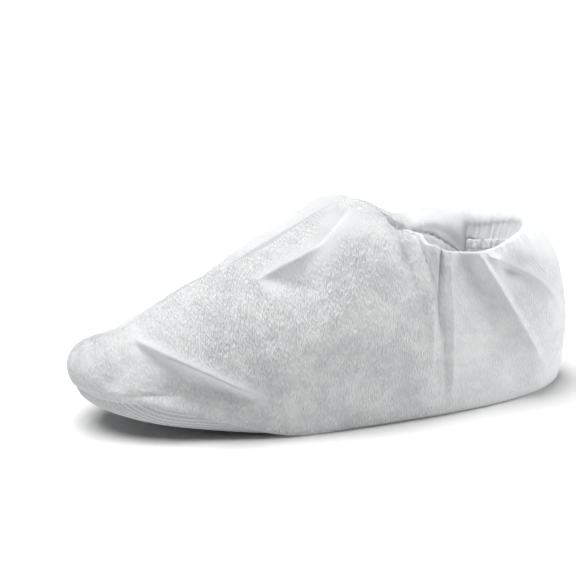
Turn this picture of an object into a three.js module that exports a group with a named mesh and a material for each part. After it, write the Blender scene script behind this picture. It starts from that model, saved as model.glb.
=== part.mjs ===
// Disposable shoe cover: two nonwoven side panels, a non-slip sole sheet and an elasticated ankle hem.
// Millimetres, +Z up. The toe points along -X, the wearer's left side is -Y, and the sole stands on Z = 0.
// Each piece starts as a plain three.js primitive (box, lathe or torus) and is bent into its place.
import * as THREE from 'three';

// Driving dimensions
const CLOTH = 1.2; // thickness of the nonwoven side panels
const SOLE_SHEET = 1.6; // thickness of the sole sheet
const SEAM_GAP = 0.4; // between the two panels along the centre seams
const TUCK_GAP = 0.4; // between the sole's upturned edge and the panels around it
const SOLE_TUCK = 2; // how far the sole's edge reaches up inside the panels
const TOE_SPRING = { fromX: -40, reach: 115, rise: 13, power: 1.3 }; // the sole's lift towards the toe
const MIDDLE_LINE = { fromX: -125, toX: 128 }; // stretch of the sole's middle line
const SOLE_FLAT = 0.84; // share of the sole's half width that lies flat before its edge turns up
const FIN_HEIGHT = 6; // seam allowance that stands along the instep
const FIN_LEAN = 8; // how far it has fallen over to the wearer's right
const FIN_BEND = 0.3; // share of its height below the place where it bends over
const LIP_LEAST = 1.2; // cut edge left standing between the instep seam and the rim's roll
const RIM_RAISE = { left: 0, right: 11 }; // how much higher the rim stands on each side
const ROLL_RADIUS = 2.8; // roll of the cloth over the rim of the ankle opening
const TURN_IN = 8; // cloth that hangs inside the rim below the roll
const HEM_HEIGHT = 7; // elastic casing at the end of the turned-in cloth
const HEM_THICKNESS = 2.4;
const HEM_GAP = 0.4; // between the turned-in cloth and the casing
const GATHER_HEIGHT = 0.8; // waves that the elastic draws into the rim
const GATHERS_PER_SECTION = 1;
const GATHER_REACH = 0.3; // share of the wall below the rim that the waves run down into
const CREASE_EDGE = 6; // width over which a crease breaks away from its ridge
const CREASE_TIP = 0.35; // share of its full width that a crease keeps at its tips
const STILL = { sole: 0.2, seam: 0.08, end: 0.6 }; // shares of wall and section where folds die out

// Places along the sections, counted in sections from the toe's middle
const LIP_START = 2.2; // the panels' lip begins
const LIP_GROWTH = 1;
const FIN_START = 2.9; // the standing seam begins
const FIN_GROWTH = 1.1; // and is full after this stretch
const FIN_END = 5.4; // it has sunk away again here
const FIN_FALL = 0.8;
const ROLL_START = 5.85; // the rim begins to roll in
const ROLL_GROWTH = 0.6;
const RAISE_START = 6.2; // one side's rim begins to stand higher
const RAISE_GROWTH = 1.6;
const RAISE_END = 9.1; // it has come down again here, before the heel
const RAISE_FALL = 0.9;
const GATHER_START = 6;
const GATHER_GROWTH = 0.5;
const HEM_START = 6.55; // the casing crosses the front of the opening

// Mesh density
const WALL_ROWS = 18;
const LIP_ROWS = 5;
const ROLL_ROWS = 0.6; // share of the lip's rows that go over the rim's roll
const SOLE_RINGS = [0, 0.42, 0.84, 0.9, 0.95, 1];
const SOLE_STEPS = 80;
const HEM_STEPS = 64;
const HEM_SIDES = 6;
const HEM_POINTS = 18; // places along each side that the hem's ring is laid through
const SLOPE_STEP = 0.01; // step over which a surface's slope is measured
const UPPER_HALF = 0.5; // rows above this share of a panel keep a cloth's thickness from the middle

const NONWOVEN = { color: 0xe4e7e8, roughness: 0.85, metalness: 0 };
const SOLE_FILM = { color: 0xd3d8da, roughness: 0.55, metalness: 0 };

// Turns rows of numbers into objects with named columns.
function table(columns, rows) {
  return rows.map((row) => Object.fromEntries(columns.map((column, i) => [column, row[i]])));
}

// One row for each section of the wearer's right half, from the toe's middle round the side to the heel's
// middle. foot is the seam with the sole, top is the instep seam or the ankle rim, low and high are the
// arch's handles, out away from the middle and up, and columns is the number of mesh columns to the next
// section.
const SECTION_COLUMNS = ['name', 'footX', 'footY', 'footZ', 'topX', 'topY', 'topZ'];
const HANDLE_COLUMNS = ['lowOut', 'lowUp', 'highOut', 'highUp', 'columns'];
const SECTIONS = table(
  [...SECTION_COLUMNS, ...HANDLE_COLUMNS],
  [
    ['toe_middle', -178, 0, 25, -173, 0, 54, 5, 6, 10, 2, 3],
    ['toe_corner', -164, 26, 23, -164, 0, 61, 10, 8, 18, -5, 4],
    ['toe_side', -135, 44, 25, -138, 0, 69, 11, 14, 30, -11, 4],
    ['vamp_front', -96, 53, 16, -99, 0, 91, 10, 28, 42, -16, 4],
    ['ball', -45, 59, 1.5, -48, 0, 113, 9, 54, 46, -18, 4],
    ['waist', 5, 58, 1.5, 8, 0, 142, 9, 66, 48, -18, 4],
    ['rim_front', 42, 54.5, 1.5, 45, 6, 126, 8, 60, 44, -6, 6],
    ['rim_pinch', 72, 49.5, 1.5, 60, 33, 113.5, 8, 48, 15, -22, 6],
    ['rim_side', 112, 41, 1.5, 95, 36.5, 108.5, 9, 42, 15, -24, 6],
    ['heel_corner', 148.5, 26, 2, 129, 23.5, 116, 9, 38, 24, -32, 4],
    ['heel_middle', 167.5, 0, 2, 141.5, 0, 118.5, 6.5, 36, 28, -34, 0],
  ],
);
const LAST = SECTIONS.length - 1;

// Creases as seen from the side, from one end to the other in X and Z. lift stands out along the line and
// fades over liftWidth above it, drop sinks in over dropWidth below it, bow bends the line, and the crease
// grows from nothing over tipIn and dies away over tipOut.
const LINE_COLUMNS = ['side', 'name', 'fromX', 'fromZ', 'toX', 'toZ', 'bow'];
const SHAPE_COLUMNS = ['lift', 'liftWidth', 'drop', 'dropWidth', 'tipIn', 'tipOut'];
const FOLDS = table(
  [...LINE_COLUMNS, ...SHAPE_COLUMNS],
  [
    ['left', 'toe_crease', -141, 63, -60, 28, 4.2, 3.5, 6, 5, 10, 12, 26],
    ['left', 'instep_pleat', -57, 97.5, -4, 126, -1.5, 3, 10, 3.5, 8, 8, 20],
    ['left', 'shoulder', 96, 106, 160, 52, 9.5, 2.4, 10, 3, 8, 10, 30],
    ['right', 'toe_crease', -146, 62, -64, 26, 3, 3, 8, 3.5, 11, 18, 28],
    ['right', 'shoulder', 92, 114, 166, 54, 9, 2.4, 10, 3, 9, 14, 24],
  ],
);

// Ridges and valleys that fan out from the pinched rim down to the sole: the place in X and the height of
// each at the three levels. The cloth lies flat between two of them.
const FAN_LEVELS = { rim: 112, middle: 60, sole: 10 };
const FAN = table(
  ['side', 'name', 'rimX', 'middleX', 'soleX', 'rimHeight', 'middleHeight', 'soleHeight'],
  [
    ['left', 'quarter_end', 28, 26, 18, 0, 0, 0],
    ['left', 'quarter_dent', 46, 50, 44, -4, -1.6, 0],
    ['left', 'strip_ridge', 59.5, 55.5, 54, 2, 0.8, 0],
    ['left', 'pinch', 66, 61, 62, -4.5, -3, -0.6],
    ['left', 'pinch_ridge', 71, 69.5, 69, 2, 2.4, 0.8],
    ['left', 'heel_valley', 78, 99, 121, -2, -3.4, -1.4],
    ['left', 'heel_ridge', 87, 118, 148, 3, 3.4, 1.4],
    ['left', 'heel_dip', 101, 142, 163, -1.6, -1.2, 0],
    ['left', 'heel_end', 124, 160, 174, 0, 0, 0],
    ['right', 'quarter_end', 28, 24, 16, 0, 0, 0],
    ['right', 'quarter_dent', 44, 42, 38, -3, -1.2, 0],
    ['right', 'strip_ridge', 56, 53, 52, 2, 1.2, 0],
    ['right', 'pinch', 65, 62, 63, -4.5, -3, -0.6],
    ['right', 'pinch_ridge', 71, 72, 74, 2, 2.2, 0.6],
    ['right', 'heel_valley', 84, 100, 128, -1.8, -2.6, -1],
    ['right', 'heel_ridge', 96, 117, 150, 2.6, 2.4, 1],
    ['right', 'heel_end', 122, 152, 172, 0, 0, 0],
  ],
);

// Soft hollows (negative) and swells as seen from the side: middle, reach each way and height.
const HOLLOWS = table(
  ['side', 'name', 'x', 'z', 'reachX', 'reachZ', 'height'],
  [
    ['left', 'toe_hollow', -116, 38, 26, 12, -2],
    ['left', 'quarter_swell', -5, 62, 60, 40, 2],
    ['right', 'toe_hollow', -118, 38, 28, 15, -2],
    ['right', 'quarter_swell', 0, 60, 60, 40, 2],
  ],
);

const clamp01 = (x) => Math.min(1, Math.max(0, x));
const ease = (x) => THREE.MathUtils.smoothstep(x, 0, 1);

// Catmull-Rom value between b and c.
function throughFour(a, b, c, d, f) {
  const square = f * f;
  return (
    0.5 *
    (2 * b + (c - a) * f + (2 * a - 5 * b + 4 * c - d) * square + (3 * b - a - 3 * c + d) * square * f)
  );
}

// A section past either end is the other half's, so that the rows run on smoothly across the middle.
function sectionRow(i) {
  const mirrored = i < 0 || i > LAST;
  const row = SECTIONS[i < 0 ? -i : i > LAST ? 2 * LAST - i : i];
  return mirrored ? { ...row, footY: -row.footY, topY: -row.topY } : row;
}

// The section table at any place along it, as numbers.
function rowAt(t) {
  const i = Math.min(Math.floor(t), LAST - 1);
  const four = [i - 1, i, i + 1, i + 2].map(sectionRow);
  const row = {};
  for (const column of Object.keys(SECTIONS[0])) {
    if (column !== 'name') row[column] = throughFour(...four.map((r) => r[column]), t - i);
  }
  return row;
}

// Horizontal direction away from the middle, square to the foot line or to the rim.
function outwardAt(t, xColumn, yColumn) {
  const before = rowAt(Math.max(0, t - SLOPE_STEP));
  const after = rowAt(Math.min(LAST, t + SLOPE_STEP));
  const along = new THREE.Vector2(after[xColumn] - before[xColumn], after[yColumn] - before[yColumn]);
  if (t <= 0) along.set(0, 1);
  if (t >= LAST) along.set(0, -1);
  along.normalize();
  return new THREE.Vector3(-along.y, along.x, 0);
}

// Bare arch of the right half, before any fold: t along the sections, v from the sole's seam to the top.
function archPoint(t, v) {
  const row = rowAt(t);
  const out = outwardAt(t, 'footX', 'footY');
  const foot = new THREE.Vector3(row.footX, row.footY, row.footZ);
  const top = new THREE.Vector3(row.topX, row.topY, row.topZ);
  const low = foot.clone().addScaledVector(out, row.lowOut).setZ(row.footZ + row.lowUp);
  const high = top.clone().addScaledVector(out, row.highOut).setZ(row.topZ + row.highUp);
  return new THREE.CubicBezierCurve3(foot, low, high, top).getPoint(v);
}

// Unit normal of a surface given by two parameters, each between 0 and its limit.
function normalOf(surface, a, b, limitA = 1, limitB = 1) {
  const stepA = SLOPE_STEP * limitA;
  const stepB = SLOPE_STEP * limitB;
  const along = surface(Math.min(limitA, a + stepA), b).sub(surface(Math.max(0, a - stepA), b));
  const up = surface(a, Math.min(limitB, b + stepB)).sub(surface(a, Math.max(0, b - stepB)));
  return along.cross(up).normalize();
}

// Height of one crease at a place on the side, out of the wall.
function foldHeight(fold, x, z) {
  const run = new THREE.Vector2(fold.toX - fold.fromX, fold.toZ - fold.fromZ);
  const length = run.length();
  run.divideScalar(length);
  const along = (x - fold.fromX) * run.x + (z - fold.fromZ) * run.y;
  const share = clamp01(along / length);
  const bowed = fold.bow * 4 * share * (1 - share);
  const across = (z - fold.fromZ) * run.x - (x - fold.fromX) * run.y - bowed;
  const grown = ease(along / fold.tipIn) * ease((length - along) / fold.tipOut);
  const width = THREE.MathUtils.lerp(CREASE_TIP, 1, grown);
  if (across >= 0) return grown * fold.lift * Math.exp(-across / (fold.liftWidth * width));
  const sunk = -across / (fold.dropWidth * width);
  return grown * (fold.lift * Math.exp(across / CREASE_EDGE) - fold.drop * sunk * Math.exp(1 - sunk));
}

// A value given at the three levels of the fan, by a parabola through them.
function atLevel(atRim, atMiddle, atSole, z) {
  const { rim, middle, sole } = FAN_LEVELS;
  const level = THREE.MathUtils.clamp(z, sole, rim);
  const rimPart = ((level - middle) * (level - sole)) / ((rim - middle) * (rim - sole));
  const middlePart = ((level - rim) * (level - sole)) / ((middle - rim) * (middle - sole));
  return atRim * rimPart + atMiddle * middlePart + atSole * (1 - rimPart - middlePart);
}

// Height of the fan's facets at a place on the side, out of the wall.
function fanHeight(side, x, z) {
  const lines = FAN.filter((line) => line.side === side).map((line) => ({
    x: atLevel(line.rimX, line.middleX, line.soleX, z),
    height: atLevel(line.rimHeight, line.middleHeight, line.soleHeight, z),
  }));
  const next = lines.findIndex((line) => line.x > x);
  if (next < 1) return 0;
  const [before, after] = [lines[next - 1], lines[next]];
  return THREE.MathUtils.mapLinear(x, before.x, after.x, before.height, after.height);
}

// Waves that the elastic draws into the rim, strongest at the top of the wall.
function gatherHeight(t, v) {
  const onRim = ease((t - GATHER_START) / GATHER_GROWTH);
  const nearRim = ease((v - 1 + GATHER_REACH) / GATHER_REACH);
  return GATHER_HEIGHT * onRim * nearRim * Math.cos(2 * Math.PI * GATHERS_PER_SECTION * (t - GATHER_START));
}

// Share of the lip that is grown along the panel, of its standing seam and of its roll over the ankle rim.
const lipShare = (t) => ease((t - LIP_START) / LIP_GROWTH);
const finShare = (t) => ease((t - FIN_START) / FIN_GROWTH) * ease((FIN_END - t) / FIN_FALL);
const rollShare = (t) => ease((t - ROLL_START) / ROLL_GROWTH);

// How far the folds, hollows and gathers move a place on the wall outwards.
function reliefHeight(side, x, z, t, v) {
  let height = gatherHeight(t, v) + fanHeight(side, x, z);
  for (const fold of FOLDS) {
    if (fold.side === side) height += foldHeight(fold, x, z);
  }
  for (const hollow of HOLLOWS) {
    if (hollow.side !== side) continue;
    const away = ((x - hollow.x) / hollow.reachX) ** 2 + ((z - hollow.z) / hollow.reachZ) ** 2;
    height += hollow.height * Math.exp(-away);
  }
  const fromSole = ease(v / STILL.sole);
  const fromEnds = ease(t / STILL.end) * ease((LAST - t) / STILL.end);
  const fromSeam = Math.max(rollShare(t), ease((1 - v) / STILL.seam));
  return height * fromSole * fromEnds * fromSeam;
}

// Wall of one side with its folds, drawn on the right half; the ankle rim stands higher on one side.
function wallPoint(side, t, v) {
  const point = archPoint(t, v);
  const outwards = normalOf(archPoint, t, v, LAST).negate();
  point.addScaledVector(outwards, reliefHeight(side, point.x, point.z, t, v));
  const alongRim = ease((t - RAISE_START) / RAISE_GROWTH) * ease((RAISE_END - t) / RAISE_FALL);
  point.z += RIM_RAISE[side] * alongRim * v * v;
  return point;
}

// The lip above the wall: w runs up the standing seam along the instep, and at the ankle over the rim's roll
// and down inside it.
function lipPoint(side, t, w) {
  const point = wallPoint(side, t, 1);
  const inward = outwardAt(t, 'topX', 'topY').negate();
  const rolled = rollShare(t);
  const fullTurn = Math.PI * rolled;
  const turn = fullTurn * clamp01(w / ROLL_ROWS);
  const hang = TURN_IN * rolled * clamp01((w - ROLL_ROWS) / (1 - ROLL_ROWS));
  const stand = w * (LIP_LEAST * (1 - rolled) + FIN_HEIGHT * finShare(t));
  point.addScaledVector(inward, ROLL_RADIUS * (1 - Math.cos(turn)) + hang * Math.sin(fullTurn));
  point.z += ROLL_RADIUS * Math.sin(turn) + hang * Math.cos(fullTurn) + stand;
  return point;
}

// Share of a panel's rows that are wall, at a place along the sections. The lip takes the rest, where there
// is one.
function wallShareAt(t) {
  return 1 - (LIP_ROWS / (WALL_ROWS + LIP_ROWS)) * lipShare(t);
}

// Outer surface of a panel: a along the sections, b from the sole's seam to the end of the lip. A panel never
// crosses the middle.
function panelSurface(side) {
  return (a, b) => {
    const t = a * LAST;
    const wallShare = wallShareAt(t);
    const beyond = (b - wallShare) / (1 - wallShare);
    const point = beyond > 0 ? lipPoint(side, t, beyond) : wallPoint(side, t, b / wallShare);
    const standing = lipShare(t) * (1 - rollShare(t));
    const cloth = b < UPPER_HALF ? 0 : CLOTH * standing;
    return point.setY(Math.max(point.y, SEAM_GAP / 2 + cloth));
  };
}

// How far the standing seam has fallen over at a place of a panel.
function fallenBy(a, b) {
  const t = a * LAST;
  const wallShare = wallShareAt(t);
  const upFin = clamp01((b - wallShare) / Math.max(1 - wallShare, Number.EPSILON));
  return FIN_LEAN * finShare(t) * clamp01((upFin - FIN_BEND) / (1 - FIN_BEND));
}

// Places of the mesh columns along the sections, from 0 to 1.
const COLUMN_PLACES = SECTIONS.flatMap((section, i) =>
  Array.from({ length: section.columns }, (_, k) => (i + k / section.columns) / LAST),
).concat(1);

// Moves every vertex of a primitive to a new place and refreshes its normals.
function bend(geometry, place) {
  const position = geometry.getAttribute('position');
  const uv = geometry.getAttribute('uv');
  for (let i = 0; i < position.count; i++) {
    const from = new THREE.Vector3().fromBufferAttribute(position, i);
    const to = place(from, new THREE.Vector2().fromBufferAttribute(uv, i));
    position.setXYZ(i, to.x, to.y, to.z);
  }
  geometry.computeVertexNormals();
  return geometry;
}

// A side panel: a thin box bent over the panel's surface, its front face outside and its back face inside.
function sidePanel(side) {
  const columns = COLUMN_PLACES.length - 1;
  const surface = panelSurface(side);
  const mirror = side === 'left' ? -1 : 1;
  return bend(new THREE.BoxGeometry(1, 1, 1, columns, WALL_ROWS + LIP_ROWS, 1), (from) => {
    const a = COLUMN_PLACES[Math.round((0.5 - mirror * from.x) * columns)];
    const b = from.y + 0.5;
    const point = surface(a, b);
    if (from.z < 0) {
      point.addScaledVector(normalOf(surface, a, b), CLOTH);
      point.y = Math.max(point.y, SEAM_GAP / 2);
    }
    return point.setY(mirror * point.y + fallenBy(a, b));
  });
}

// Height of the sole's underside above the floor.
function floorLift(x) {
  const ahead = Math.max(0, (TOE_SPRING.fromX - x) / TOE_SPRING.reach);
  return TOE_SPRING.rise * ahead ** TOE_SPRING.power;
}

// Underside of the sole's right half: ring runs from the middle line to the upturned edge.
function soleUnderside(t, ring) {
  const row = rowAt(t);
  const inset = outwardAt(t, 'footX', 'footY').multiplyScalar(-(CLOTH + TUCK_GAP));
  const edge = new THREE.Vector2(row.footX + inset.x, row.footY + inset.y);
  const middle = new THREE.Vector2(THREE.MathUtils.clamp(row.footX, MIDDLE_LINE.fromX, MIDDLE_LINE.toX), 0);
  const turn = (Math.PI / 2) * clamp01((ring - SOLE_FLAT) / (1 - SOLE_FLAT));
  const plan = middle.lerp(edge, Math.min(ring, SOLE_FLAT) + (1 - SOLE_FLAT) * Math.sin(turn));
  const lift = floorLift(plan.x);
  const rise = (row.footZ + SOLE_TUCK - lift) * (1 - Math.cos(turn));
  return new THREE.Vector3(plan.x, plan.y, lift + rise);
}

// The sole: a lathed disc whose middle is drawn out into a line and whose edge turns up inside the panels.
function soleSheet() {
  const rings = [...SOLE_RINGS, ...SOLE_RINGS.toReversed()];
  const profile = rings.map((ring, i) => new THREE.Vector2(ring, i < SOLE_RINGS.length ? 0 : 1));
  return bend(new THREE.LatheGeometry(profile, SOLE_STEPS), (from, uv) => {
    const ring = rings[Math.round(uv.y * (rings.length - 1))];
    const step = Math.round(uv.x * SOLE_STEPS);
    const t = (2 * LAST * Math.min(step, SOLE_STEPS - step)) / SOLE_STEPS;
    const point = soleUnderside(t, ring);
    if (from.y > 0.5) {
      point.addScaledVector(normalOf(soleUnderside, t, Math.max(ring, SLOPE_STEP), LAST), SOLE_SHEET);
    }
    if (ring === 0 || t === 0 || t === LAST) point.y = 0;
    return uv.x > 0.5 ? point : point.setY(-point.y);
  });
}

// Middle of the elastic casing below the lip of one side.
function hemPoint(side, t) {
  const end = lipPoint(side, t, 1);
  const outward = outwardAt(t, 'topX', 'topY');
  end.addScaledVector(outward, CLOTH / 2);
  return end.setZ(end.z - HEM_GAP - HEM_HEIGHT / 2);
}

// The ankle hem: a ring laid along the ends of the two lips and flattened into a casing.
function ankleHem() {
  const stride = (LAST - HEM_START) / (HEM_POINTS - 1);
  const places = Array.from({ length: HEM_POINTS }, (_, i) => HEM_START + stride * i);
  const left = places.map((t) => hemPoint('left', t).multiply(new THREE.Vector3(1, -1, 1)));
  const right = places.map((t) => hemPoint('right', t)).reverse();
  const path = new THREE.CatmullRomCurve3([...left, ...right.slice(1)], true);
  return bend(new THREE.TorusGeometry(1, 0.5, HEM_SIDES, HEM_STEPS), (from, uv) => {
    const point = path.getPointAt(uv.x % 1);
    const along = path.getTangentAt(uv.x % 1);
    const out = new THREE.Vector3(along.y, -along.x, 0).normalize();
    const angle = 2 * Math.PI * uv.y;
    point.addScaledVector(out, (HEM_THICKNESS / 2) * Math.cos(angle));
    return point.setZ(point.z + (HEM_HEIGHT / 2) * Math.sin(angle));
  });
}

// One named mesh of the finished object.
function piece(name, geometry, finish) {
  const mesh = new THREE.Mesh(geometry, new THREE.MeshStandardMaterial(finish));
  mesh.name = name;
  return mesh;
}

const group = new THREE.Group();
group.name = 'shoe_cover';
group.add(piece('upper_left', sidePanel('left'), NONWOVEN));
group.add(piece('upper_right', sidePanel('right'), NONWOVEN));
group.add(piece('sole', soleSheet(), SOLE_FILM));
group.add(piece('ankle_hem', ankleHem(), NONWOVEN));

export default group;
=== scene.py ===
# %% [markdown]
# # A protective shoe cover
# The cover is cut from two sheets of crinkled nonwoven, one for each side of the foot. They meet in a
# standing seam over the instep, an elastic gathers them at the ankle, and an embossed non-slip sheet
# closes them underneath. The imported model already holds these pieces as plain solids. This lesson
# replaces each with a finer cloth surface.

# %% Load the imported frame
import math
from collections import namedtuple

import bmesh
import bpy
import numpy as np
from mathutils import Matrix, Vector


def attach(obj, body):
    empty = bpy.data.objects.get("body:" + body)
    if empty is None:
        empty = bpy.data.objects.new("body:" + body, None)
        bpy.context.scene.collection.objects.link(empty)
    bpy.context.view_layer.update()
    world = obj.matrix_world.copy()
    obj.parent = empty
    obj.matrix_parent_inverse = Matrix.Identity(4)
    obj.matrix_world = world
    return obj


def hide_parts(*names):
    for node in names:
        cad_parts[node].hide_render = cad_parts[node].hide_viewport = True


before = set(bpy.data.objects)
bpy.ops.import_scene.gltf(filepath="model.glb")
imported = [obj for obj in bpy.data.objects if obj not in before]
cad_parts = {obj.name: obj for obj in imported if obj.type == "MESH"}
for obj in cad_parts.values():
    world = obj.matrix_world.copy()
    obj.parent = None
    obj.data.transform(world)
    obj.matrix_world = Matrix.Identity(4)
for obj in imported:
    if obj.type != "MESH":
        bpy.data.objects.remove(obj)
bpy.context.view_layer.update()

MM = 0.001

# %% [markdown]
# ## The camera
# A product photo is taken from well back with a long lens, so that near and far parts keep their sizes.
# The camera looks at the wearer's left side, a little from the toe and from above. Its field of view is
# worked out from the width of the picture at the object, which is easier to judge than a focal length.

# %% Place the camera
LOOK_AT = Vector((-0.025, 0.020, 0.075))
AZIMUTH, ELEVATION = math.radians(-15), math.radians(20)
DISTANCE = 1.3
PICTURE_WIDTH = 0.394

camera_data = bpy.data.cameras.new("camera")
camera_data.sensor_width = 36
camera_data.lens = camera_data.sensor_width * DISTANCE / PICTURE_WIDTH
camera = bpy.data.objects.new("camera", camera_data)
bpy.context.scene.collection.objects.link(camera)
back = Vector((
    math.sin(AZIMUTH) * math.cos(ELEVATION),
    -math.cos(AZIMUTH) * math.cos(ELEVATION),
    math.sin(ELEVATION),
))
camera.location = LOOK_AT + back * DISTANCE
camera.rotation_euler = (-back).to_track_quat("-Z", "Y").to_euler()
bpy.context.scene.camera = camera
print("lens", round(camera_data.lens, 1), "mm")

# %% [markdown]
# ## The pattern
# A tailor describes a form by sections: here one row for each, from the middle of the toe round one side
# to the middle of the heel. Every section is an arch from the seam at the sole up to the instep seam or
# the ankle rim, a cubic curve with two handles. The form could be sculpted, but then no size of it could
# be read or changed. Smooth rails run through the rows, so a few numbers give the whole side. The sizes
# are in millimetres, as on a paper pattern.

# %% Sections of one side
Section = namedtuple(
    "Section", "name foot_x foot_y foot_z top_x top_y top_z low_out low_up high_out high_up"
)
SECTIONS = [
    Section("toe_middle", -178, 0, 30, -173, 0, 53, 5, 6, 10, 1),
    Section("toe_corner", -164, 26, 27, -164, 0, 61, 10, 8, 18, -5),
    Section("toe_side", -135, 44, 26, -138, 0, 67.4, 11, 14, 30, -11),
    Section("vamp_front", -96, 53, 16, -99, 0, 91, 10, 28, 42, -16),
    Section("ball", -45, 59, 1.5, -48, 0, 112, 9, 54, 46, -18),
    Section("waist", 5, 58, 1.5, 8, 0, 141.4, 9, 66, 48, -18),
    Section("rim_front", 42, 54.5, 1.5, 45, 6, 126, 8, 60, 44, -6),
    Section("rim_pinch", 72, 50.5, 1.5, 60, 33, 113.5, 4, 46, 11, -30),
    Section("rim_side", 112, 42, 1.5, 95, 36.5, 108.5, 5, 42, 9, -26),
    Section("heel_corner", 148.5, 26, 2, 129, 23.5, 116, 9, 38, 27, -21),
    Section("heel_middle", 167.5, 0, 2, 141.5, 0, 118.5, 6.5, 36, 29, -23),
]
LAST = len(SECTIONS) - 1
PLACE = {section.name: float(i) for i, section in enumerate(SECTIONS)}
FOOT, TOP = slice(0, 3), slice(3, 6)
LOW_OUT, LOW_UP, HIGH_OUT, HIGH_UP = range(6, 10)


def mirrored(section):
    """The same section on the other side of the foot."""
    return section._replace(foot_y=-section.foot_y, top_y=-section.top_y)


RAILS = np.array(
    [row[1:] for row in (mirrored(SECTIONS[1]), *SECTIONS, mirrored(SECTIONS[-2]))], float
)


def section_at(t):
    """The section table at any places t along it, by a Catmull-Rom rail through every column."""
    i = np.clip(np.floor(t).astype(int), 0, LAST - 1)
    f = (t - i)[:, None]
    a, b, c, d = (RAILS[i + k] for k in range(4))
    return 0.5 * (2 * b + (c - a) * f + (2 * a - 5 * b + 4 * c - d) * f**2 + (3 * b - a - 3 * c + d) * f**3)


print(len(SECTIONS), "sections")

# %% [markdown]
# ## The bare side
# Without its folds a side is a smooth shell round the foot. The functions for it work on whole arrays of
# places, because a loop over tens of thousands of points would be slow. They draw the wearer's right
# side, towards +Y. The left side is the same pattern turned over.

# %% Arch surface of one side
SLOPE_STEP = 0.01


def unit(vectors):
    """Vectors of length one."""
    return vectors / np.maximum(np.linalg.norm(vectors, axis=1, keepdims=True), 1e-9)


def ease(x):
    """Goes smoothly from 0 to 1 as x does."""
    x = np.clip(x, 0, 1)
    return x * x * (3 - 2 * x)


def outward(t, rail):
    """Level direction away from the foot, square to the foot rail or the top rail."""
    along = section_at(np.minimum(t + SLOPE_STEP, LAST)) - section_at(np.maximum(t - SLOPE_STEP, 0))
    along = along[:, rail]
    along[t <= 0] = (0, 1, 0)
    along[t >= LAST] = (0, -1, 0)
    return unit(np.column_stack([-along[:, 1], along[:, 0], np.zeros(len(t))]))


def arch(t, v):
    """Points of the bare side: t along the sections, v from the sole's seam up to the top."""
    row = section_at(t)
    foot, top = row[:, FOOT], row[:, TOP]
    out = outward(t, FOOT)
    low, high = foot + out * row[:, [LOW_OUT]], top + out * row[:, [HIGH_OUT]]
    low[:, 2] += row[:, LOW_UP]
    high[:, 2] += row[:, HIGH_UP]
    v = v[:, None]
    return (1 - v) ** 3 * foot + 3 * (1 - v) ** 2 * v * low + 3 * (1 - v) * v**2 * high + v**3 * top


def arch_normal(t, v):
    """Outward unit normals of the bare side."""
    along = arch(np.minimum(t + SLOPE_STEP, LAST), v) - arch(np.maximum(t - SLOPE_STEP, 0), v)
    up = arch(t, np.minimum(v + SLOPE_STEP, 1)) - arch(t, np.maximum(v - SLOPE_STEP, 0))
    return unit(np.cross(up, along))


ball_arch = arch(np.full(60, PLACE["ball"]), np.linspace(0, 1, 60))
print("arch over the ball of the foot", round(np.linalg.norm(np.diff(ball_arch, axis=0), axis=1).sum()), "mm")

# %% [markdown]
# ## Creases
# Thin stiff cloth bends in sharp creases with slack hollows beside them. Each row is one crease as seen
# from the side: it stands out along a line, falls away softly above and breaks off into a hollow below,
# over which its edge may hang. A cloth simulation would find folds of its own, but not these, so they are
# listed.

# %% Crease and hollow tables
Fold = namedtuple(
    "Fold", "side name from_x from_z to_x to_z bow lift lift_width drop drop_width over tip_in tip_out"
)
FOLDS = [
    Fold("left", "toe_crease", -141, 63, -60, 28, 4.2, 3.2, 4.2, 11.8, 9, 1.5, 9, 26),
    Fold("left", "toe_wrinkle", -152, 56, -128, 58, 4, 0.5, 4, 0.5, 4, 0, 8, 8),
    Fold("left", "toe_wrinkle_low", -153, 51, -130, 54, 4, 0.4, 4, 0.4, 4, 0, 8, 8),
    Fold("left", "instep_pleat", -57, 97.5, -6, 124, -1.5, 1.2, 10, 15.5, 10.2, 0, 8, 29),
    Fold("left", "instep_leaf", -20, 116, 10, 139, 0, -2.6, 8, 0, 9, 0, 8, 8),
    Fold("left", "shoulder", 96, 106, 160, 52, 9.5, 2.0, 9, 3, 6, 0.6, 8, 36),
    Fold("left", "rim_gather", 96, 109, 108, 101, -1, 1.1, 3, 1.4, 3, 0, 3, 5),
    Fold("right", "toe_crease", -146, 62, -64, 26, 3, 1.8, 5, 6, 8, 1, 16, 28),
    Fold("right", "shoulder", 92, 114, 166, 54, 9, 2.0, 9, 3, 8, 0.5, 14, 24),
]
Hollow = namedtuple("Hollow", "side name x z reach_x reach_z height")
HOLLOWS = [
    Hollow("left", "toe_hollow", -128, 33, 30, 14, -5),
    Hollow("left", "toe_front", -143, 48, 16, 11, -4),
    Hollow("left", "toe_valley", -159, 42, 7, 9, -3),
    Hollow("left", "instep_swell", 18, 126, 30, 9, 0.9),
    Hollow("left", "rim_dent", 47, 98, 9, 13, -3.2),
    Hollow("left", "shoulder_hollow", 117, 96, 11, 6.5, -3),
    Hollow("left", "quarter_swell", -5, 62, 60, 40, 2),
    Hollow("right", "toe_hollow", -118, 38, 28, 15, -3),
    Hollow("right", "quarter_swell", 0, 60, 60, 40, 2),
]
print(len(FOLDS), "creases,", len(HOLLOWS), "hollows")

# %% Shape of a crease and of a hollow
CREASE_EDGE = 1.1
CREASE_TIP = 0.35
CREASE_RECOVERY = 5
TIP_SPREAD = 1.3
SINK_LATER = 1.5
HANG_WIDTH = 2.5


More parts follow.
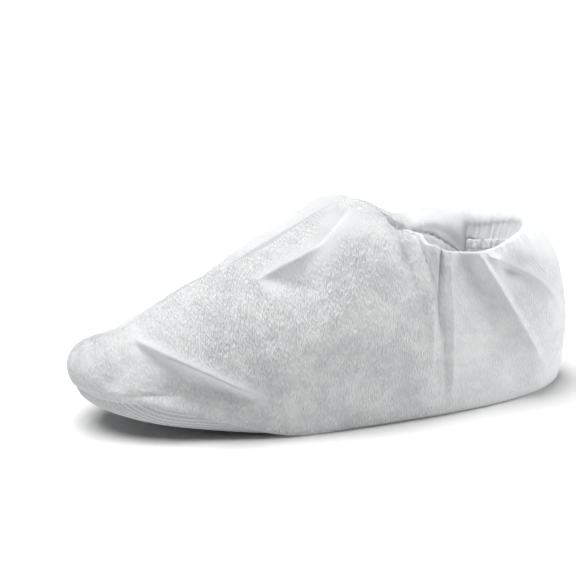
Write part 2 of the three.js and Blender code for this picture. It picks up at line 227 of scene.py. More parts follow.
def fold_places(fold, x, z):
    """Direction and length of a crease, and how far along it and above it places are."""
    run = np.array([fold.to_x - fold.from_x, fold.to_z - fold.from_z], float)
    length = np.linalg.norm(run)
    run /= length
    along = (x - fold.from_x) * run[0] + (z - fold.from_z) * run[1]
    share = np.clip(along / length, 0, 1)
    across = (z - fold.from_z) * run[0] - (x - fold.from_x) * run[1] - fold.bow * 4 * share * (1 - share)
    return run, length, along, share, across


def fold_shape(fold, x, z):
    """Height out of the wall of one crease, and how far its edge hangs over, as shifts in x and z."""
    run, length, along, share, across = fold_places(fold, x, z)
    aside = TIP_SPREAD * np.abs(across)
    dying = ease((length - along) / (fold.tip_out + aside))
    grown = ease(along / (fold.tip_in + aside)) * dying
    sinking = ease(along / (SINK_LATER * fold.tip_in + aside)) * dying
    width = CREASE_TIP + (1 - CREASE_TIP) * np.sin(np.pi * share)
    above = grown * fold.lift * np.exp(-np.maximum(across, 0) / (fold.lift_width * width))
    sunk = np.maximum(-across, 0) / (fold.drop_width * width)
    below = grown * fold.lift * np.exp(np.minimum(across, 0) / CREASE_EDGE)
    below -= sinking * fold.drop * (1 - np.exp(-sunk)) * np.exp(-sunk / CREASE_RECOVERY)
    hang = fold.over * grown * np.exp(-((across / (HANG_WIDTH * CREASE_EDGE)) ** 2))
    return np.where(across >= 0, above, below), hang * run[1], -hang * run[0]


def hollow_away(hollow, x, z):
    """How far places are from the middle of a hollow, squared, with 1 at its reach."""
    return ((x - hollow.x) / hollow.reach_x) ** 2 + ((z - hollow.z) / hollow.reach_z) ** 2


print("longest crease", round(max(math.hypot(f.to_x - f.from_x, f.to_z - f.from_z) for f in FOLDS)), "mm")

# %% [markdown]
# ## The fan of facets under the ankle
# From the pinch at the ankle the cloth falls to the sole in flat facets, like the ribs of a fan. Creases
# of their own would leave the cloth between them round. So here a row is one rib or valley, with its
# place and height at three levels, and the cloth lies flat from line to line. A line that is not sharp is
# rounded off.

# %% Fan table
FanLine = namedtuple("FanLine", "side name x_rim x_middle x_sole h_rim h_middle h_sole sharp")
FAN_LEVELS = (112, 60, 10)
FAN = [
    FanLine("left", "quarter_end", 28, 26, 18, 0, 0, 0, 0),
    FanLine("left", "quarter_dent", 46, 50, 44, -6, -1.4, 0, 0.2),
    FanLine("left", "strip_ridge", 58.5, 55, 53, 3.2, 0.8, 0, 0.8),
    FanLine("left", "strip_edge", 64.3, 58.3, 59, 1.6, 0.2, 0, 1),
    FanLine("left", "pinch", 66.2, 61.8, 62, -8, -1, 0, 1),
    FanLine("left", "pinch_side", 67.6, 65, 64.5, -1.6, -0.9, 0, 1),
    FanLine("left", "pinch_ridge", 70.5, 69.5, 69, 2.4, 3.6, 0.4, 1.3),
    FanLine("left", "heel_valley", 79, 101, 121, -2, -4.8, -1, 0),
    FanLine("left", "heel_ridge", 88, 120, 148, 3, 3.4, 1.4, 1),
    FanLine("left", "ridge_back", 92, 126, 154, 0.6, 0.4, 0.4, 0.7),
    FanLine("left", "heel_dip", 102, 143, 163, -1.6, -0.8, 0, 0),
    FanLine("left", "heel_end", 124, 160, 174, 0, 0, 0, 0),
    FanLine("right", "quarter_end", 28, 24, 16, 0, 0, 0, 0),
    FanLine("right", "quarter_dent", 44, 42, 38, 0, -1.2, 0, 0),
    FanLine("right", "strip_ridge", 56, 53, 52, 0, 1.2, 0, 0.7),
    FanLine("right", "pinch", 65, 62, 63, 0, -3, -0.6, 1),
    FanLine("right", "pinch_ridge", 71, 72, 74, 0, 2.2, 0.6, 0.8),
    FanLine("right", "heel_valley", 84, 100, 124, 0, -2.6, -1, 0.3),
    FanLine("right", "heel_ridge", 96, 117, 146, 0, 2.4, 1, 0.9),
    FanLine("right", "heel_end", 122, 152, 172, 0, 0, 0, 0),
]


def fan_height(side, x, z):
    """Height of the facets of one side at places x and z: a Hermite curve from each line to the next."""
    lines = [line for line in FAN if line.side == side]
    level = np.clip(z, FAN_LEVELS[2], FAN_LEVELS[0])

    def at_level(*values):
        return np.polyval(np.polyfit(FAN_LEVELS, values, 2), level)

    places = [at_level(line.x_rim, line.x_middle, line.x_sole) for line in lines]
    heights = [at_level(line.h_rim, line.h_middle, line.h_sole) for line in lines]
    total = np.zeros(len(x))
    for i in range(len(lines) - 1):
        f = (x - places[i]) / (places[i + 1] - places[i])
        s = np.clip(f, 0, 1)
        curve = 3 * s**2 - 2 * s**3
        curve += lines[i].sharp * (s**3 - 2 * s**2 + s) + lines[i + 1].sharp * (s**3 - s**2)
        facet = heights[i] + (heights[i + 1] - heights[i]) * curve
        total = np.where((f >= 0) & (f < 1), facet, total)
    return total


print(len(FAN), "ribs and valleys of the fan")

# %% [markdown]
# ## Slack
# No sheet of cloth lies quite flat. A Displace modifier with a noise texture could give it slack, but the
# folds are worked out as numbers anyway, so a sum of random waves is added to them. The random numbers
# start from a fixed seed, so the cloth is the same every time.

# %% Slack waves
Waves = namedtuple("Waves", "count shortest longest height")
SLACK_WAVES = [Waves(14, 25, 70, 0.14), Waves(60, 6, 20, 0.02)]
LAST_PHASE = 6.3


def slack_waves(seed):
    """Random waves as rows of (x rate, z rate, phase, height)."""
    rng = np.random.default_rng(seed)
    rows = []
    for waves in SLACK_WAVES:
        rate = 2 * np.pi / rng.uniform(waves.shortest, waves.longest, waves.count)
        angle = rng.uniform(0, np.pi, waves.count)
        phase = rng.uniform(0, LAST_PHASE, waves.count)
        height = np.full(waves.count, waves.height)
        rows.append(np.column_stack([rate * np.cos(angle), rate * np.sin(angle), phase, height]))
    return np.vstack(rows)


SLACK = {"left": slack_waves(3), "right": slack_waves(4)}
print(len(SLACK["left"]), "slack waves a side")

# %% [markdown]
# ## The relief of a side
# Facets, waves, creases and hollows are added up to one height over the bare side. Near the seams the
# cloth is sewn down and keeps still. At the ankle it isn't sewn down but turned in, from the place where
# the rim starts to roll.

# %% Add up the relief
STILL_SOLE, STILL_SEAM, STILL_END = 0.12, 0.06, 0.4
ROLL_START, ROLL_GROWS = 5.3, 0.5


def roll_share(t):
    """How far the rim is turned in."""
    return ease((t - ROLL_START) / ROLL_GROWS)


def relief(side, x, z, t, v):
    """Height of all folds of one side, and the shifts of their hanging edges."""
    height, shift_x, shift_z = fan_height(side, x, z), np.zeros(len(x)), np.zeros(len(x))
    for rate_x, rate_z, phase, wave in SLACK[side]:
        height += wave * np.sin(rate_x * x + rate_z * z + phase)
    for fold in FOLDS:
        if fold.side == side:
            h, dx, dz = fold_shape(fold, x, z)
            height, shift_x, shift_z = height + h, shift_x + dx, shift_z + dz
    for hollow in HOLLOWS:
        if hollow.side == side:
            height = height + hollow.height * np.exp(-hollow_away(hollow, x, z))
    free = ease(v / STILL_SOLE) * ease(t / STILL_END) * ease((LAST - t) / STILL_END)
    free *= np.maximum(roll_share(t), ease((1 - v) / STILL_SEAM))
    return height * free, shift_x * free, shift_z * free


probe_t, probe_v = (axis.ravel() for axis in np.meshgrid(np.linspace(0, LAST, 300), np.linspace(0, 1, 80)))
probe = arch(probe_t, probe_v)
probe_height = relief("left", probe[:, 0], probe[:, 2], probe_t, probe_v)[0]
print("left side: folds from", round(probe_height.min(), 1), "to", round(probe_height.max(), 1), "mm")

# %% [markdown]
# ## The rim
# At the ankle the cloth turns over the rim and hangs inside it. On the far side a wide lobe of it has
# flopped in. A bevel would give a turn of one size all round, so a table gives it instead. A row says,
# for one place along the sections, how far the rim is raised, how far the turn reaches, rises and drops,
# how far the cloth hangs down from it and comes back, and how much of its way is straight across the
# foot.

# %% Rim table
Rim = namedtuple("Rim", "side t raised reach rise drop hang back across")
RIM = [
    Rim("left", 5.6, 0, 1.2, 0.6, 0, 0.5, 0, 0),
    Rim("left", 5.8, 0, 2, 0.8, 0.2, 2, 0, 0),
    Rim("left", 6.0, 0, 3, 1.2, 0.3, 5, 0, 0),
    Rim("left", 6.2, 0, 4, 1.5, 0.5, 8, 0, 0),
    Rim("left", 6.4, 0, 4, 1.6, 0.5, 10, 0, 0),
    Rim("left", 6.9, 0, 3.6, 1.6, 0.5, 12, 0, 0),
    Rim("left", 7.1, 1.8, 3.0, 1.4, 0.5, 12, 0, 0),
    Rim("left", 7.2, -0.6, 3.0, 1.4, 0.5, 12, 0, 0),
    Rim("left", 8.0, 0, 4.0, 1.6, 0.5, 14, 0, 0),
    Rim("left", 8.6, 0, 8.0, 2.4, 1.0, 14, -2, 0),
    Rim("left", 10.0, 0, 9.0, 2.5, 2.5, 13, -5, 0),
    Rim("right", 5.4, 0, 3.5, 0.6, 0.4, 1, 0, 1),
    Rim("right", 5.7, 0, 8, 0.5, 1.8, 3, 0, 1),
    Rim("right", 6.0, 0.5, 13.5, 1.2, 3, 6, -1, 1),
    Rim("right", 6.2, 1.8, 19, 1.8, 3.6, 9, -2, 1),
    Rim("right", 6.5, 3, 25, 2.4, 3.8, 12, -5, 1),
    Rim("right", 7.1, 4.2, 23, 2.4, 4.2, 14, -8, 1),
    Rim("right", 7.5, 8.4, 21, 2.4, 6.6, 15, -8, 1),
    Rim("right", 7.66, 9.3, 21, 2.4, 9, 15, -8, 1),
    Rim("right", 7.84, 9.6, 21, 2.6, 12.6, 13, -6, 1),
    Rim("right", 8.05, 9.2, 22, 2.8, 19, 9, -2, 1),
    Rim("right", 8.2, 8, 22, 3, 25.5, 6, -1, 1),
    Rim("right", 8.3, 6.6, 14, 2.5, 8, 10, -3, 0.3),
    Rim("right", 8.6, 2, 13, 2.5, 6, 10, -4, 0),
    Rim("right", 9.0, 0, 12, 2.5, 5, 11, -5, 0),
    Rim("right", 10.0, 0, 9, 2.5, 2.5, 13, -5, 0),
]
RIM_SMOOTHING = (-0.06, -0.03, 0, 0.03, 0.06)


def rim_at(side, t, column):
    """One column of the rim table at places t."""
    rows = [row for row in RIM if row.side == side]
    places, values = [row.t for row in rows], [getattr(row, column) for row in rows]
    return sum(np.interp(t + shift, places, values) for shift in RIM_SMOOTHING) / len(RIM_SMOOTHING)


def rim_out(side, t):
    """Level direction away from the opening, square to the rim or straight across the foot."""
    across = rim_at(side, t, "across")[:, None]
    return unit(outward(t, TOP) * (1 - across) + np.array([0, 1, 0]) * across)


print("widest turn of the rim", max(row.reach for row in RIM), "mm")

# %% [markdown]
# ## The standing seam
# Along the instep the edges of the panels stand up together as a seam allowance that has fallen over to
# one side. It grows out of the toe and dies away at the ankle. Its foot is steep and gapes over the ball
# of the foot, and the rest of it lies over. A strip of its own would show a joint, so it is part of each
# panel. Smooth shares between 0 and 1 say how much of it there is at each place.

# %% Shares along the edge
FIN_BEND = 0.35
LIP_START, LIP_GROWS = 2.2, 1
FIN_START, FIN_GROWS, FIN_END, FIN_FADES = 2.9, 1.1, 5.4, 0.8
WEDGE_LEAST, WEDGE_START, WEDGE_END, WEDGE_GROWS = 0.2, 3.4, 4.7, 0.6


def lip_share(t):
    """How much of the edge strip there is: none at the toe."""
    return ease((t - LIP_START) / LIP_GROWS)


def fin_share(t):
    """How tall the standing seam is."""
    return ease((t - FIN_START) / FIN_GROWS) * ease((FIN_END - t) / FIN_FADES)


def wedge_share(t):
    """How high the foot of the standing seam is: it opens most over the ball of the foot."""
    opened = ease((t - WEDGE_START) / WEDGE_GROWS) * ease((WEDGE_END - t) / WEDGE_GROWS)
    return WEDGE_LEAST + (1 - WEDGE_LEAST) * opened


def step_share(w):
    """How far up the steep foot of the seam allowance a place is."""
    return np.minimum(w / FIN_BEND, 1)


def flap_share(w):
    """How far along the fallen part of the seam allowance a place is."""
    return np.clip((w - FIN_BEND) / (1 - FIN_BEND), 0, 1)


print("standing seam along", round(FIN_END - FIN_START, 1), "of", LAST, "sections")

# %% [markdown]
# ## Puckers
# The elastic draws the cloth in small uneven waves. A sum of sines whose rates don't fit together looks
# as uneven as random numbers would, and it needs no table.

# %% Waves of the gathered cloth
PUCKER, PUCKER_RATES = 0.35, (3.1, 5.3, 8.9)
WALL_PUCKER = PUCKER / 2
GATHER, GATHER_SLANT, GATHER_RATES = 0.55, 2.5, (4.7, 7.9)
GATHER_START, GATHER_GROWS = 8.3, 0.5


def pucker(t):
    """Uneven waves that the elastic draws."""
    return sum(np.sin(2 * np.pi * rate * t + rate) for rate in PUCKER_RATES)


def ridge(x):
    """A sharp ridge of height one with flanks of width one."""
    return np.exp(-np.abs(x))


def gathers(t, w):
    """Slanting pleats of the cloth that is turned in at the heel."""
    pleats = sum(np.sin(2 * np.pi * rate * t + GATHER_SLANT * w + rate) for rate in GATHER_RATES)
    return pleats * ease((t - GATHER_START) / GATHER_GROWS)


rim_puckers = PUCKER * pucker(np.linspace(PLACE["rim_front"], LAST, 400))
print("puckers up to", round(np.ptp(rim_puckers), 1), "mm deep")

# %% [markdown]
# ## The cloth of one side
# The wall is the bare side with its folds. The lip is the strip that goes on from its top edge: up the
# seam allowance along the instep, and over the rim and down inside it at the ankle. As one strip does
# both, the sheet has no joint.

# %% Wall
NEAR_RIM = 0.1


def wall(side, t, v):
    """The side with its folds."""
    point, normal = arch(t, v), arch_normal(t, v)
    height, shift_x, shift_z = relief(side, point[:, 0], point[:, 2], t, v)
    shift = np.column_stack([shift_x, np.zeros(len(t)), shift_z])
    shift -= normal * np.sum(shift * normal, axis=1, keepdims=True)
    near_rim = ease((v - 1 + NEAR_RIM) / NEAR_RIM) * roll_share(t)
    point = point + normal * (height + WALL_PUCKER * near_rim * pucker(t))[:, None] + shift
    point[:, 2] += rim_at(side, t, "raised") * v**2
    return point


near_rim = wall("left", np.linspace(PLACE["rim_front"], LAST, 200), np.ones(200))[:, 2]
print("near rim", round(near_rim.min()), "to", round(near_rim.max()), "mm high")

# %% Lip
FIN_UP, FIN_UNDER = 5.8, 0.8
FIN_STEP_UP = 2.7
LIP_TUCK = 1.2
ROLL_ROWS = 0.55
ROLL_LEAN, LEAN_START, LEAN_GROWS = 0.9, 7.5, 1
GATHER_OVER, GATHER_DOWN, GATHER_DAMPED = 0.3, 0.7, 0.6
LEAF_FOLD, LEAF_FROM, LEAF_RUN, LEAF_WIDTH, LEAF_GROWS = 3, 6.9, 1.8, 0.07, 0.1


def lip(side, t, w):
    """The edge strip at places t along the sections and w from the top edge to the strip's end."""
    point = wall(side, t, np.ones(len(t)))
    rolled, stood = roll_share(t), fin_share(t)
    over, down = np.clip(w / ROLL_ROWS, 0, 1), np.clip((w - ROLL_ROWS) / (1 - ROLL_ROWS), 0, 1)
    lean = ROLL_LEAN * rolled * ease((t - LEAN_START) / LEAN_GROWS)
    turn = lean + (np.pi * rolled - lean) * over
    inward = rim_at(side, t, "reach") / 2 * (np.cos(lean) - np.cos(turn))
    inward -= rim_at(side, t, "back") * rolled * down
    inward += PUCKER * rolled * down * pucker(t)
    gathered = GATHER_OVER * over + GATHER_DOWN * down * (1 - GATHER_DAMPED * down)
    inward += GATHER * gathered * gathers(t, w)
    if side == "right":
        leaf = ridge((t - LEAF_FROM - LEAF_RUN * down) / LEAF_WIDTH)
        inward -= LEAF_FOLD * ease(down / LEAF_GROWS) * leaf
    point = point - rim_out(side, t) * inward[:, None]
    fall = rim_at(side, t, "drop") * over**2 + rim_at(side, t, "hang") * down
    under = FIN_UNDER if side == "right" else 0
    step = FIN_STEP_UP * wedge_share(t)
    stand = step_share(w) * (step - under) + flap_share(w) * (FIN_UP - step)
    point[:, 2] += rim_at(side, t, "rise") * (np.sin(turn) - np.sin(lean)) - fall * rolled
    point[:, 2] += stood * stand - w * LIP_TUCK * (1 - rolled) * (1 - stood)
    return point


far_lip = lip("right", np.linspace(PLACE["rim_front"], LAST, 200), np.ones(200))[:, 2]
print("far lip hangs down to", round(far_lip.min()), "mm")

# %% [markdown]
# ## A panel's grid
# A flat grid is the cloth before it is sewn, and each of its points is moved to its place on the side.
# Along the rim and above all at the pinch the folds are small, so the columns are closer together there.
# The seam allowance falls over to the wearer's right on both panels.

# %% Where a panel's points go
CLOTH = 0.1
SEAM_GAP = 0.12
FIN_BACK, FIN_STEP_BACK = 10.5, 2.2
LOBE_CROSSING = 20
COLUMNS, WALL_ROWS, LIP_ROWS = 380, 146, 30
RIM_START, RIM_END, RIM_CLOSER = 5.8, 9, 1.5
PINCH_AT, PINCH_WIDTH = 7.15, 0.25

FINE_T = np.linspace(0, LAST, 2000)
FOOT_STEPS = np.linalg.norm(np.diff(section_at(FINE_T)[:, FOOT], axis=0), axis=1)
AT_RIM = (FINE_T[1:] > RIM_START) & (FINE_T[1:] < RIM_END)
CLOSENESS = np.where(AT_RIM, RIM_CLOSER, 1) + np.exp(-(((FINE_T[1:] - PINCH_AT) / PINCH_WIDTH) ** 2))
FOOT_LENGTH = np.concatenate([[0], np.cumsum(FOOT_STEPS * CLOSENESS)])


def section_place(a, side):
    """Places along the sections of shares a of a panel's length."""
    along = a if side == "left" else 1 - a
    return np.interp(along * FOOT_LENGTH[-1], FOOT_LENGTH, FINE_T)


def wall_share(t):
    """Share of a panel's rows that make its wall. The others make its lip."""
    return 1 - LIP_ROWS / (WALL_ROWS + LIP_ROWS) * lip_share(t)


def panel_place(side):
    """The function that moves a panel's grid onto its side."""

    def place(a, b):
        t = section_place(a, side)
        on_wall = b <= wall_share(t)
        v = np.minimum(b / wall_share(t), 1)
        w = np.where(on_wall, 0, (b - wall_share(t)) / np.maximum(1 - wall_share(t), 1e-6))
        point = np.where(on_wall[:, None], wall(side, t, v), lip(side, t, w))
        upper_half = b > 0.5
        rolled = roll_share(t) * upper_half
        standing = lip_share(t) * (1 - rolled) * upper_half
        point[:, 1] = np.maximum(point[:, 1], SEAM_GAP / 2 + CLOTH * standing - LOBE_CROSSING * rolled)
        if side == "left":
            point[:, 1] *= -1
        step = FIN_STEP_BACK * wedge_share(t)
        point[:, 1] += fin_share(t) * (step * step_share(w) + (FIN_BACK - step) * flap_share(w))
        return point

    return place


print("seam at the sole", round(FOOT_STEPS.sum()), "mm a side")

# %% [markdown]
# ## Where the cloth is crinkled
# The cloth is crinkled all over, but where it is drawn tight the crinkle is pulled out of it: on the
# crests of the folds, the seam allowance, the rim and the smooth top of the instep. This could be painted
# on, but the pattern already says where those places are. A value on each point says how much crinkle is
# left.

# %% Strength of the crinkle
CREPE_T, CREPE_LEFT = (0, 2, 3.2, 6, 7, 10), (0.5, 0.6, 1, 1, 0.5, 0.45)
CUFF_START, CUFF_CALM = {"left": 8, "right": 5.6}, {"left": 0.8, "right": 0.5}
CUFF_GROWS, CUFF_LOW, CUFF_RISES = 0.8, 0.7, 0.2
FIN_CALM = 0.8
STRETCHED, STRETCHED_CALM = Hollow("both", "instep_top", 3, 131, 19, 8, 0), 0.7
CREST_CALM, CREST_ABOVE, CREST_BELOW, CREST_ENDS = 0.8, 4, 8, (2, 6)
TIGHT_LIFT = 1


def tight_crest(fold, x, z):
    """How close places are to the crest of a crease: 1 on it and 0 away from it."""
    _, length, along, _, across = fold_places(fold, x, z)
    before, grows = CREST_ENDS
    inside = ease((along + before) / grows) * ease((length + before - along) / grows)
    return inside * np.exp(-((across / np.where(across > 0, CREST_ABOVE, CREST_BELOW)) ** 2))


def crepe(a, b, side):
    """How strongly the cloth is crinkled: less at the toe and heel, hardly on the seam and the rim."""
    t = section_place(a, side)
    v = b / wall_share(t)
    cuff = ease((t - CUFF_START[side]) / CUFF_GROWS) * ease((v - CUFF_LOW) / CUFF_RISES)
    fin = fin_share(t) * (b > wall_share(t))
    x, _, z = arch(t, np.minimum(v, 1)).T
    strength = np.interp(t, CREPE_T, CREPE_LEFT) * (1 - CUFF_CALM[side] * cuff) * (1 - FIN_CALM * fin)
    strength *= 1 - STRETCHED_CALM * np.exp(-(hollow_away(STRETCHED, x, z) ** 2))
    for fold in FOLDS:
        if fold.side == side and abs(fold.lift) > TIGHT_LIFT:
            strength *= 1 - CREST_CALM * tight_crest(fold, x, z)
    return strength


print(sum(abs(fold.lift) > TIGHT_LIFT for fold in FOLDS), "creases pull the crinkle out")

# %% [markdown]
# ## The two side panels
# The cloth is so thin that light comes through it, so a panel stays a single sheet. The lengths along the
# moved grid become a UV map in metres, so that the crinkle follows the sheet and keeps its size.

# %% Sheets of cloth
PLAIN_CREPE = 0.6


def lengths(points, axis):
    """Lengths along the lines of a grid of points."""
    steps = np.linalg.norm(np.diff(points, axis=axis), axis=2)
    pad = [(0, 0), (0, 0)]
    pad[axis] = (1, 0)
    return np.cumsum(np.pad(steps, pad), axis=axis)


def cloth_sheet(name, columns, rows, place, flat_place=None, side=None):
    """A flat grid of cloth moved into its place, with a UV map in metres on the flat cloth."""
    bm = bmesh.new()
    bmesh.ops.create_grid(bm, x_segments=columns, y_segments=rows, size=0.5)
    mesh = bpy.data.meshes.new(name)
    bm.to_mesh(mesh)
    bm.free()
    grid = np.empty(len(mesh.vertices) * 3)
    mesh.vertices.foreach_get("co", grid)
    a, b = grid[0::3] + 0.5, grid[1::3] + 0.5
    points = place(a, b) * MM
    mesh.vertices.foreach_set("co", points.ravel())
    if flat_place:
        flat = flat_place(a, b) * MM
    else:
        lattice = points.reshape(rows + 1, columns + 1, 3)
        along = np.broadcast_to(lengths(lattice, 1)[0], (rows + 1, columns + 1))
        flat = np.column_stack([along.ravel(), lengths(lattice, 0).ravel()])
    corner = np.empty(len(mesh.loops), int)
    mesh.loops.foreach_get("vertex_index", corner)
    mesh.uv_layers.new(name="cloth").data.foreach_set("uv", flat[corner].ravel())
    strength = crepe(a, b, side) if side else np.full(len(a), PLAIN_CREPE)
    mesh.attributes.new("crepe", "FLOAT", "POINT").data.foreach_set("value", strength)
    mesh.shade_smooth()
    piece = bpy.data.objects.new(name, mesh)
    bpy.context.scene.collection.objects.link(piece)
    print(name, len(mesh.polygons), "faces, flat", np.round(np.ptp(flat, axis=0), 3), "m")
    return piece


def sheet_area(piece):
    """Area of a piece's sheet in square metres."""
    return sum(face.area for face in piece.data.polygons)


print("a panel has", COLUMNS * (WALL_ROWS + LIP_ROWS), "faces to place")

# %% Sew the side panels
panels = {}
for side in ("left", "right"):
    panel = cloth_sheet(f"panel_{side}", COLUMNS, WALL_ROWS + LIP_ROWS, panel_place(side), side=side)
    panels[side] = panel
    print(panel.name, round(sheet_area(panel), 4), "m2")

# %% [markdown]
# ## The sole sheet
# The sole is one sheet with a turned-up edge. A filled outline would have no rows of faces to turn up, so
# it starts as a grid too. Its long way runs once round the outline and its short way from the middle line
# to the edge, and where the grid meets itself the points are merged.

# %% Grid of the sole
TUCK = 1.4
SOLE_RISE = 2.5
SOLE_FLAT = 0.84
TOE_SPRING_FROM, TOE_SPRING_REACH, TOE_SPRING_RISE, TOE_SPRING_POWER = -40, 115, 15, 1.5
MIDDLE_FROM, MIDDLE_TO = -125, 128


def sole_reach(a, b):
    """The sole's edge points, the places on its middle line, and the angle that it is turned up by."""
    t = LAST * (1 - np.abs(2 * a - 1))
    foot = section_at(t)[:, FOOT]
    edge = foot - outward(t, FOOT) * TUCK
    middle = np.clip(foot[:, 0], MIDDLE_FROM, MIDDLE_TO)
    turn = np.pi / 2 * np.clip((b - SOLE_FLAT) / (1 - SOLE_FLAT), 0, 1)
    return edge, middle, turn


def sole_place(a, b):
    """Moves the sole's grid: a once round the outline, b from the middle line to the turned-up edge."""
    edge, middle, turn = sole_reach(a, b)
    reach = np.minimum(b, SOLE_FLAT) + (1 - SOLE_FLAT) * np.sin(turn)
    x = middle + (edge[:, 0] - middle) * reach
    y = edge[:, 1] * reach
    ahead = np.maximum(0, (TOE_SPRING_FROM - x) / TOE_SPRING_REACH)
    lift = TOE_SPRING_RISE * ahead**TOE_SPRING_POWER
    z = lift + (edge[:, 2] + SOLE_RISE - lift) * (1 - np.cos(turn))
    return np.column_stack([x, np.where(a > 0.5, y, -y), z])


def sole_flat(a, b):
    """The same grid on the flat sheet, with the edge rolled out."""
    edge, middle, turn = sole_reach(a, b)
    reach = np.minimum(b, SOLE_FLAT) + (1 - SOLE_FLAT) * turn
    x = middle + (edge[:, 0] - middle) * reach
    y = edge[:, 1] * reach
    return np.column_stack([x, np.where(a > 0.5, y, -y)])


toe_tip = sole_place(np.zeros(1), np.full(1, SOLE_FLAT))[0]
print("sole lifted by", round(toe_tip[2], 1), "mm at the toe")

# %% Lay the sole
SOLE_SHEET = 0.8
SOLE_COLUMNS, SOLE_ROWS = 240, 48
MERGE_WITHIN, EMPTY_EDGE = 1e-6, 1e-7


def merge_doubles(piece):
    """Merges points that lie on each other."""
    bm = bmesh.new()
    bm.from_mesh(piece.data)
    bmesh.ops.remove_doubles(bm, verts=bm.verts, dist=MERGE_WITHIN)
    bmesh.ops.dissolve_degenerate(bm, edges=bm.edges, dist=EMPTY_EDGE)
    bm.to_mesh(piece.data)
    bm.free()


def thicken(piece, thickness):
    """Gives a sheet its thickness, inwards from its outer face."""
    solidify = piece.modifiers.new("thickness", "SOLIDIFY")
    solidify.thickness = thickness * MM
    solidify.offset = -1


sole = cloth_sheet("sole_sheet", SOLE_COLUMNS, SOLE_ROWS, sole_place, sole_flat)
merge_doubles(sole)
thicken(sole, SOLE_SHEET)
print(sole.name, round(sheet_area(sole), 4), "m2")

# %% [markdown]
# ## The ankle hem
# The elastic runs in a casing, a flat tube of cloth at the end of the turned-in edge. A curve with a
# bevel would make a tube too, but a grid rolled up round the end of the lip can lean inwards and follows
# every pucker of it.

# %% Gather the hem
HEM_HEIGHT, HEM_THICKNESS, HEM_INWARD, HEM_LEAN, HEM_OVERLAP = 6, 2.4, 0.4, 0.45, 1.6
HEM_SQUARENESS = 0.5
HEM_START = 6.55
HEM_COLUMNS, HEM_ROWS = 300, 16


def hem_place(a, b):
    """Moves the hem's grid: a once round the ankle, b once round the casing."""
    t = LAST - (LAST - HEM_START) * np.abs(2 * a - 1)
    right = a > 0.5
    ends = [lip(side, t, np.ones(len(t))) for side in ("right", "left")]
    out = outward(t, TOP)
    middle = np.where(right[:, None], *ends) - out * HEM_INWARD
    angle = 2 * np.pi * b
    level, upright = (
        np.sign(wave) * np.abs(wave) ** HEM_SQUARENESS for wave in (np.cos(angle), np.sin(angle))
    )
    below = HEM_HEIGHT / 2 * (1 - upright)
    point = middle + out * (HEM_THICKNESS / 2 * level - HEM_LEAN * below)[:, None]
    point[:, 2] += HEM_OVERLAP - below
    point[:, 1] = np.where(right, point[:, 1], -point[:, 1])
    return point


hem = cloth_sheet("hem_casing", HEM_COLUMNS, HEM_ROWS, hem_place)
merge_doubles(hem)
print(hem.name, round(sheet_area(hem), 4), "m2")

# %% [markdown]
# ## The crinkle of the nonwoven
# The cloth is a felt of fine fibres, drawn into small slanting creases by the machine that made it. Where
# the fibres are denser the cloth is whiter, which gives it soft clouds. The creases are too small for the
# mesh, so they are bump, and their shade is also painted into the colour: a little darker in their valleys
# and lighter on their crests. One node group makes creases and clouds from the flat cloth's own
# coordinates: slanting strokes from stretched noise, fibres from fine noise and clouds from coarse noise.
# A share of translucent shader lets the light through the sheet, so that the turned-in cloth glows as the
# real one does.

# %% Node helpers
def add_node(tree, kind, **inputs):
    """A node with inputs set, or linked where a socket is given. _1 stands for an input's number."""
    node = tree.nodes.new(kind)
    for name, value in inputs.items():
        socket = node.inputs[int(name[1:])] if name[0] == "_" else node.inputs[name]
        if isinstance(value, bpy.types.NodeSocket):
            tree.links.new(value, socket)
        else:
            socket.default_value = value
    return node


def math_node(tree, operation, a, b):
    """The value of a sum or another operation of two values."""
    node = add_node(tree, "ShaderNodeMath", _0=a, _1=b)
    node.operation = operation
    return node.outputs[0]


print("Blender", bpy.app.version_string)

# %% Crinkle node group
STROKE_ANGLE = math.radians(38)
STROKE_WIDE, STROKE_LONG = 0.68 * MM, 3 * MM
STROKE_LOW, STROKE_HIGH = 0.3, 0.7
FIBRE_RATE, CLOUD_RATE, PATCH_RATE = 1700.0, 110.0, 32.0
FIBRE_HEIGHT = 0.03
# How strongly the painted shade of the strokes and the cloth's own clouds go into the colour.
STROKE_PAINTED_SHADE, CLOUD_TONE = 0.2, 0.8


